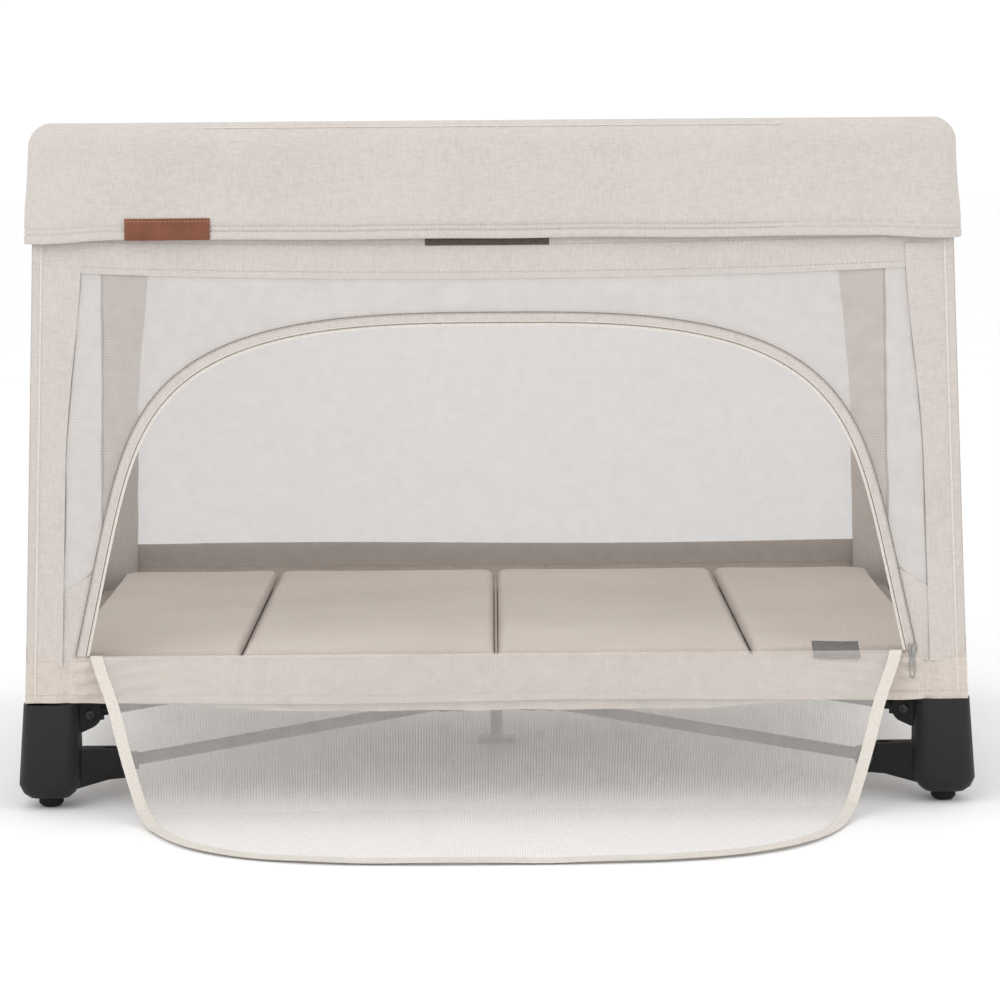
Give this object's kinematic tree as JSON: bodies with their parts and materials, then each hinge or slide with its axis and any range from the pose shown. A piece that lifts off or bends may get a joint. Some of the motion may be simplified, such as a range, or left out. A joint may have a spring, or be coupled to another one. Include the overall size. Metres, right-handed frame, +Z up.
{
  "type": "travel playpen",
  "caption": "Folding travel playpen with padded top rails, mesh walls, an open zip door panel, a panelled mattress and moulded feet on a central folding hub.",
  "frame": {"origin": "on the floor, at the middle of the center foot under the hub", "axes": "+X to the right seen from the door side, +Y to the back, away from the door, +Z up"},
  "size_m": [1.0662, 1.0104, 0.762],
  "materials": {
    "moulded_black": "fine satin texture, dark charcoal",
    "rubber_pad": "matt black rubber",
    "frame_tube": "satin black powder coat",
    "heather_fabric": "woven heather, oatmeal",
    "mesh": "fine knitted mesh, pale",
    "mattress_fabric": "smooth soft knit, warm beige",
    "zip_metal": "dark nickel",
    "trim_tape": "smooth cream binding tape",
    "leather_patch": "tan leather, plain"
  },
  "bodies": {
    "hub": {"hub": "moulded_black", "center_foot": "moulded_black"},
    "arm_front_left": {"arm_front_left": "frame_tube"},
    "brace_front_left": {"brace_front_left": "frame_tube"},
    "corner_front_left": {"foot_front_left": "moulded_black", "foot_pad_front_left": "rubber_pad", "post_front_left": "frame_tube", "top_corner_front_left": "moulded_black", "corner_cover_front_left": "heather_fabric", "front_wall_left": "mesh", "left_wall": "mesh"},
    "arm_front_right": {"arm_front_right": "frame_tube"},
    "brace_front_right": {"brace_front_right": "frame_tube"},
    "corner_front_right": {"foot_front_right": "moulded_black", "foot_pad_front_right": "rubber_pad", "post_front_right": "frame_tube", "top_corner_front_right": "moulded_black", "corner_cover_front_right": "heather_fabric", "front_wall_right": "mesh", "right_wall": "mesh"},
    "arm_rear_left": {"arm_rear_left": "frame_tube"},
    "brace_rear_left": {"brace_rear_left": "frame_tube"},
    "corner_rear_left": {"foot_rear_left": "moulded_black", "foot_pad_rear_left": "rubber_pad", "post_rear_left": "frame_tube", "top_corner_rear_left": "moulded_black", "corner_cover_rear_left": "heather_fabric", "rear_wall": "mesh"},
    "arm_rear_right": {"arm_rear_right": "frame_tube"},
    "brace_rear_right": {"brace_rear_right": "frame_tube"},
    "corner_rear_right": {"foot_rear_right": "moulded_black", "foot_pad_rear_right": "rubber_pad", "post_rear_right": "frame_tube", "top_corner_rear_right": "moulded_black", "corner_cover_rear_right": "heather_fabric"},
    "rail_front_left": {"rail_front_left": "frame_tube", "rail_cover_front_left": "heather_fabric", "rail_latch_front": "moulded_black"},
    "rail_front_right": {"rail_front_right": "frame_tube", "rail_cover_front_right": "heather_fabric"},
    "rail_rear_left": {"rail_rear_left": "frame_tube", "rail_cover_rear_left": "heather_fabric", "rail_latch_rear": "moulded_black"},
    "rail_rear_right": {"rail_rear_right": "frame_tube", "rail_cover_rear_right": "heather_fabric"},
    "rail_left_front": {"rail_left_front": "frame_tube", "rail_cover_left_front": "heather_fabric"},
    "rail_left_rear": {"rail_left_rear": "frame_tube", "rail_cover_left_rear": "heather_fabric"},
    "rail_right_front": {"rail_right_front": "frame_tube", "rail_cover_right_front": "heather_fabric"},
    "rail_right_rear": {"rail_right_rear": "frame_tube", "rail_cover_right_rear": "heather_fabric"},
    "door_upper": {"door_upper": "mesh"},
    "door_lower": {"door_lower": "mesh"},
    "zip_pull": {"zip_pull": "zip_metal"},
    "mattress_2": {"mattress_panel_2": "mattress_fabric"},
    "mattress_1": {"mattress_panel_1": "mattress_fabric"},
    "mattress_3": {"mattress_panel_3": "mattress_fabric"},
    "mattress_4": {"mattress_panel_4": "mattress_fabric"}
  },
  "joints": [
    {"name": "fold_arm_front_left", "type": "hinge", "parent": "hub", "child": "arm_front_left", "pos_m": [-0.04938, -0.03408, 0.056], "axis": [0.5679, -0.8231, 0], "range_deg": [0, 70], "deforming": ["front_wall_left", "front_wall_right", "left_wall", "right_wall", "rear_wall", "corner_cover_front_left", "corner_cover_front_right", "corner_cover_rear_left", "corner_cover_rear_right", "rail_cover_front_left", "rail_cover_front_right", "rail_cover_rear_left", "rail_cover_rear_right", "rail_cover_left_front", "rail_cover_left_rear", "rail_cover_right_front", "rail_cover_right_rear", "door_upper", "door_lower", "mattress_panel_1", "mattress_panel_2", "mattress_panel_3", "mattress_panel_4"]},
    {"name": "fold_brace_front_left", "type": "hinge", "parent": "hub", "child": "brace_front_left", "pos_m": [-0.08478, -0.0585, 0.118], "axis": [0.5679, -0.8231, 0], "range_deg": [0, 71]},
    {"name": "fold_post_front_left", "type": "hinge", "parent": "arm_front_left", "child": "corner_front_left", "pos_m": [-0.43004, -0.29673, 0.038], "axis": [0.5679, -0.8231, 0], "range_deg": [-71, 0]},
    {"name": "fold_arm_front_right", "type": "hinge", "parent": "hub", "child": "arm_front_right", "pos_m": [0.04938, -0.03408, 0.056], "axis": [0.5679, 0.8231, 0], "range_deg": [0, 71]},
    {"name": "fold_brace_front_right", "type": "hinge", "parent": "hub", "child": "brace_front_right", "pos_m": [0.08478, -0.0585, 0.118], "axis": [0.5679, 0.8231, 0], "range_deg": [0, 71]},
    {"name": "fold_post_front_right", "type": "hinge", "parent": "arm_front_right", "child": "corner_front_right", "pos_m": [0.43004, -0.29673, 0.038], "axis": [0.5679, 0.8231, 0], "range_deg": [-71, 0]},
    {"name": "fold_arm_rear_left", "type": "hinge", "parent": "hub", "child": "arm_rear_left", "pos_m": [-0.04938, 0.03408, 0.056], "axis": [-0.5679, -0.8231, 0], "range_deg": [0, 71]},
    {"name": "fold_brace_rear_left", "type": "hinge", "parent": "hub", "child": "brace_rear_left", "pos_m": [-0.08478, 0.0585, 0.118], "axis": [-0.5679, -0.8231, 0], "range_deg": [0, 71]},
    {"name": "fold_post_rear_left", "type": "hinge", "parent": "arm_rear_left", "child": "corner_rear_left", "pos_m": [-0.43004, 0.29673, 0.038], "axis": [-0.5679, -0.8231, 0], "range_deg": [-71, 0]},
    {"name": "fold_arm_rear_right", "type": "hinge", "parent": "hub", "child": "arm_rear_right", "pos_m": [0.04938, 0.03408, 0.056], "axis": [-0.5679, 0.8231, 0], "range_deg": [0, 71]},
    {"name": "fold_brace_rear_right", "type": "hinge", "parent": "hub", "child": "brace_rear_right", "pos_m": [0.08478, 0.0585, 0.118], "axis": [-0.5679, 0.8231, 0], "range_deg": [0, 71]},
    {"name": "fold_post_rear_right", "type": "hinge", "parent": "arm_rear_right", "child": "corner_rear_right", "pos_m": [0.43004, 0.29673, 0.038], "axis": [-0.5679, 0.8231, 0], "range_deg": [-71, 0]},
    {"name": "fold_rail_front_left", "type": "hinge", "parent": "corner_front_left", "child": "rail_front_left", "pos_m": [-0.38065, -0.3216, 0.726], "axis": [0, 1, 0], "range_deg": [0, 76]},
    {"name": "fold_rail_front_right", "type": "hinge", "parent": "corner_front_right", "child": "rail_front_right", "pos_m": [0.38065, -0.3216, 0.726], "axis": [0, -1, 0], "range_deg": [0, 76]},
    {"name": "fold_rail_rear_left", "type": "hinge", "parent": "corner_rear_left", "child": "rail_rear_left", "pos_m": [-0.38065, 0.3216, 0.726], "axis": [0, 1, 0], "range_deg": [0, 76]},
    {"name": "fold_rail_rear_right", "type": "hinge", "parent": "corner_rear_right", "child": "rail_rear_right", "pos_m": [0.38065, 0.3216, 0.726], "axis": [0, -1, 0], "range_deg": [0, 76]},
    {"name": "fold_rail_left_front", "type": "hinge", "parent": "corner_front_left", "child": "rail_left_front", "pos_m": [-0.49177, -0.26265, 0.726], "axis": [-1, 0, 0], "range_deg": [0, 76]},
    {"name": "fold_rail_left_rear", "type": "hinge", "parent": "corner_rear_left", "child": "rail_left_rear", "pos_m": [-0.49177, 0.26265, 0.726], "axis": [1, 0, 0], "range_deg": [0, 76]},
    {"name": "fold_rail_right_front", "type": "hinge", "parent": "corner_front_right", "child": "rail_right_front", "pos_m": [0.49177, -0.26265, 0.726], "axis": [-1, 0, 0], "range_deg": [0, 76]},
    {"name": "fold_rail_right_rear", "type": "hinge", "parent": "corner_rear_right", "child": "rail_right_rear", "pos_m": [0.49177, 0.26265, 0.726], "axis": [1, 0, 0], "range_deg": [0, 76]},
    {"name": "door_swing", "type": "hinge", "parent": "corner_front_left", "child": "door_upper", "pos_m": [0, -0.3683, 0.172], "axis": [-1, 0, 0], "range_deg": [0, 157.6]},
    {"name": "door_bend", "type": "hinge", "parent": "door_upper", "child": "door_lower", "pos_m": [0, -0.4403, 0.012], "axis": [1, 0, 0], "range_deg": [0, 65.9]},
    {"name": "zip_pull_swing", "type": "hinge", "parent": "corner_front_right", "child": "zip_pull", "pos_m": [0.462, -0.3686, 0.166], "axis": [-1, 0, 0], "range_deg": [0, 100]},
    {"name": "mattress_lift", "type": "slide", "parent": "hub", "child": "mattress_2", "axis": [0, 0, 1], "range_m": [0, 0.75]},
    {"name": "mattress_fold_1", "type": "hinge", "parent": "mattress_2", "child": "mattress_1", "pos_m": [-0.287, 0, 0.169], "axis": [0, 1, 0], "range_deg": [0, 175]},
    {"name": "mattress_fold_2", "type": "hinge", "parent": "mattress_2", "child": "mattress_3", "pos_m": [0, 0, 0.169], "axis": [0, -1, 0], "range_deg": [0, 175]},
    {"name": "mattress_fold_3", "type": "hinge", "parent": "mattress_3", "child": "mattress_4", "pos_m": [0.287, 0, 0.169], "axis": [0, -1, 0], "range_deg": [0, 175]}
  ],
  "couplings": [
    {"joint": "fold_brace_front_left", "follows": "fold_arm_front_left", "ratio": 1},
    {"joint": "fold_post_front_left", "follows": "fold_arm_front_left", "ratio": -1},
    {"joint": "fold_brace_front_right", "follows": "fold_arm_front_left", "ratio": 1},
    {"joint": "fold_post_front_right", "follows": "fold_arm_front_left", "ratio": -1},
    {"joint": "fold_arm_front_right", "follows": "fold_arm_front_left", "ratio": 1},
    {"joint": "fold_brace_rear_left", "follows": "fold_arm_front_left", "ratio": 1},
    {"joint": "fold_post_rear_left", "follows": "fold_arm_front_left", "ratio": -1},
    {"joint": "fold_arm_rear_left", "follows": "fold_arm_front_left", "ratio": 1},
    {"joint": "fold_brace_rear_right", "follows": "fold_arm_front_left", "ratio": 1},
    {"joint": "fold_post_rear_right", "follows": "fold_arm_front_left", "ratio": -1},
    {"joint": "fold_arm_rear_right", "follows": "fold_arm_front_left", "ratio": 1},
    {"joint": "fold_rail_front_left", "follows": "fold_arm_front_left", "ratio": 1.07},
    {"joint": "fold_rail_front_right", "follows": "fold_arm_front_left", "ratio": 1.07},
    {"joint": "fold_rail_rear_left", "follows": "fold_arm_front_left", "ratio": 1.07},
    {"joint": "fold_rail_rear_right", "follows": "fold_arm_front_left", "ratio": 1.07},
    {"joint": "fold_rail_left_front", "follows": "fold_arm_front_left", "ratio": 1.07},
    {"joint": "fold_rail_left_rear", "follows": "fold_arm_front_left", "ratio": 1.07},
    {"joint": "fold_rail_right_front", "follows": "fold_arm_front_left", "ratio": 1.07},
    {"joint": "fold_rail_right_rear", "follows": "fold_arm_front_left", "ratio": 1.07},
    {"joint": "door_bend", "follows": "door_swing", "ratio": 0.4118}
  ]
}
